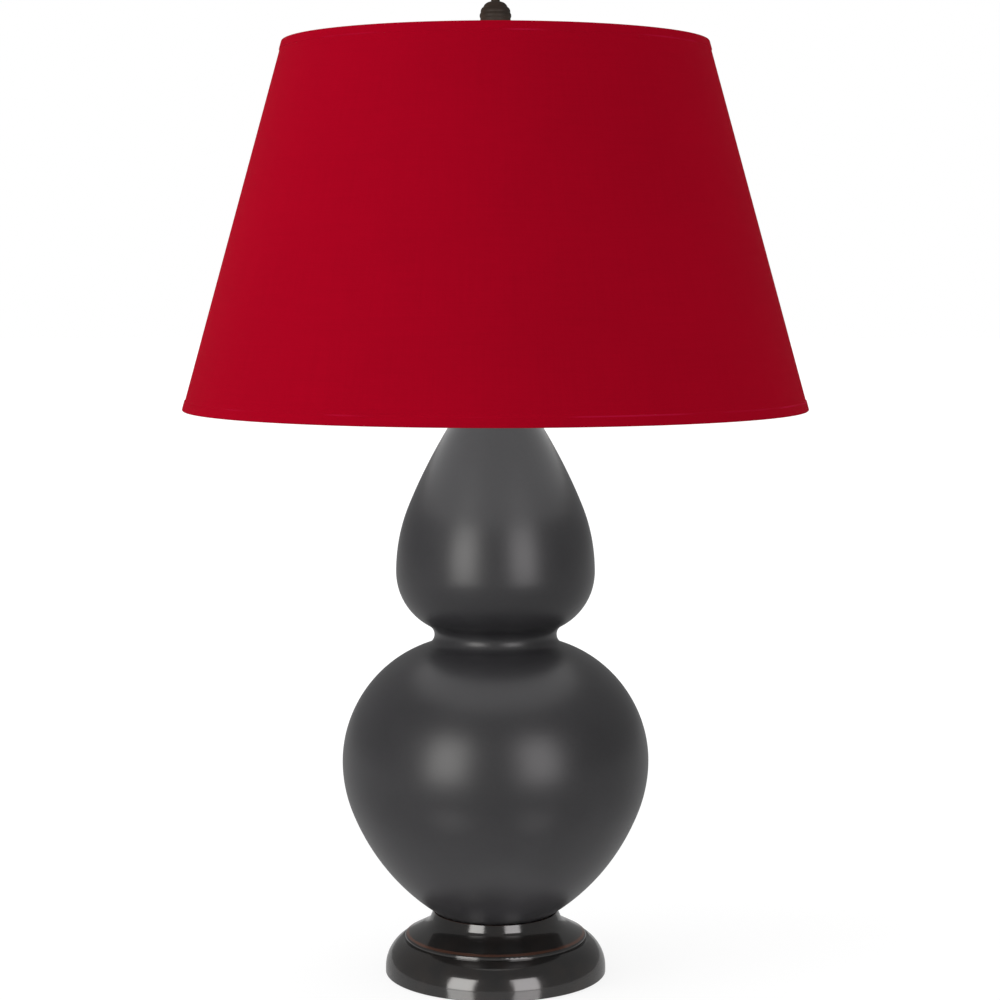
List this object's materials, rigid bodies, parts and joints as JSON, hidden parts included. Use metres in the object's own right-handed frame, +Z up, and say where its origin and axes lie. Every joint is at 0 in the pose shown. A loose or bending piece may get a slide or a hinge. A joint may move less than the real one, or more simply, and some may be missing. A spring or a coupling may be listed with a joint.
{
  "type": "table lamp",
  "caption": "Double gourd ceramic table lamp on a turned metal base, with a harp, a tapered drum shade, a ball finial and a turn-knob socket.",
  "frame": {"origin": "middle of the felt underside, on the lamp's axis", "axes": "+Z up along the lamp's axis, -Y to the front where the switch knob is, +Y to the lead inlet at the back of the base"},
  "size_m": [0.5016, 0.5016, 0.7884],
  "materials": {
    "patina": "dark patina, satin, worn to copper on the edges",
    "plated": "satin brass plate",
    "steel": "zinc plated",
    "iron": "raw",
    "felt": "felt",
    "board": "fibre board",
    "gasket": "matt",
    "gland": "matt black",
    "lead": "black sheath",
    "glaze": "satin charcoal glaze",
    "paper": "insulating paper",
    "moulding": "black phenolic",
    "knob": "black phenolic",
    "aluminium": "bright",
    "black_glass": "black glass",
    "bulb_glass": "clear",
    "stem_glass": "clear",
    "tungsten": "drawn wire",
    "fabric": "fine plain weave, matt",
    "liner": "white styrene"
  },
  "bodies": {
    "lamp": {"felt_pad": "felt", "bottom_board": "board", "board_screws": "steel", "base_casting": "patina", "cord_gland": "gland", "ballast_disc": "iron", "lower_lock_washer": "steel", "lower_pipe_nut": "steel", "threaded_pipe": "steel", "inner_lead": "lead", "seat_gasket": "gasket", "ceramic_gourd": "glaze", "cap_gasket": "gasket", "vase_cap": "patina", "neck_spacer": "patina", "harp_saddle": "plated", "upper_lock_washer": "steel", "upper_pipe_nut": "plated", "socket_cap": "plated", "socket_shell": "plated", "paper_insulator": "paper", "socket_body": "moulding", "terminal_screws": "plated", "screw_shell": "aluminium", "centre_contact": "plated"},
    "switch": {"switch_rotor": "moulding", "switch_shaft": "plated", "switch_knob": "knob"},
    "bulb": {"bulb_contact": "plated", "cap_insulator": "black_glass", "bulb_cap": "aluminium", "bulb_glass": "bulb_glass", "bulb_stem": "stem_glass", "filament": "tungsten"},
    "harp": {"harp": "plated"},
    "ferrule_right": {"ferrule_right": "plated"},
    "ferrule_left": {"ferrule_left": "plated"},
    "shade": {"harp_swivel": "plated", "fitter_washer": "plated", "spider_arm_1": "plated", "spider_arm_2": "plated", "spider_arm_3": "plated", "shade_top_ring": "plated", "shade_bottom_ring": "plated", "shade_liner": "liner", "shade_fabric": "fabric", "shade_bottom_trim": "fabric", "shade_top_trim": "fabric", "finial_washer": "plated"},
    "finial": {"finial": "patina"}
  },
  "joints": [
    {"name": "switch_turn", "type": "hinge", "parent": "lamp", "child": "switch", "pos_m": [0, -0.02, 0.5151], "axis": [0, -1, 0], "continuous": true},
    {"name": "bulb_lift", "type": "slide", "parent": "lamp", "child": "bulb", "axis": [0, 0, 1], "range_m": [0, 0.025]},
    {"name": "harp_lift", "type": "slide", "parent": "lamp", "child": "harp", "axis": [0, 0, 1], "range_m": [0, 0.015]},
    {"name": "ferrule_right_slide", "type": "slide", "parent": "harp", "child": "ferrule_right", "axis": [0, 0, 1], "range_m": [0, 0.012]},
    {"name": "ferrule_left_slide", "type": "slide", "parent": "harp", "child": "ferrule_left", "axis": [0, 0, 1], "range_m": [0, 0.012]},
    {"name": "shade_swivel", "type": "hinge", "parent": "harp", "child": "shade", "pos_m": [0, 0, 0.74], "axis": [0, 0, 1], "continuous": true},
    {"name": "finial_lift", "type": "slide", "parent": "shade", "child": "finial", "axis": [0, 0, 1], "range_m": [0, 0.01]}
  ]
}
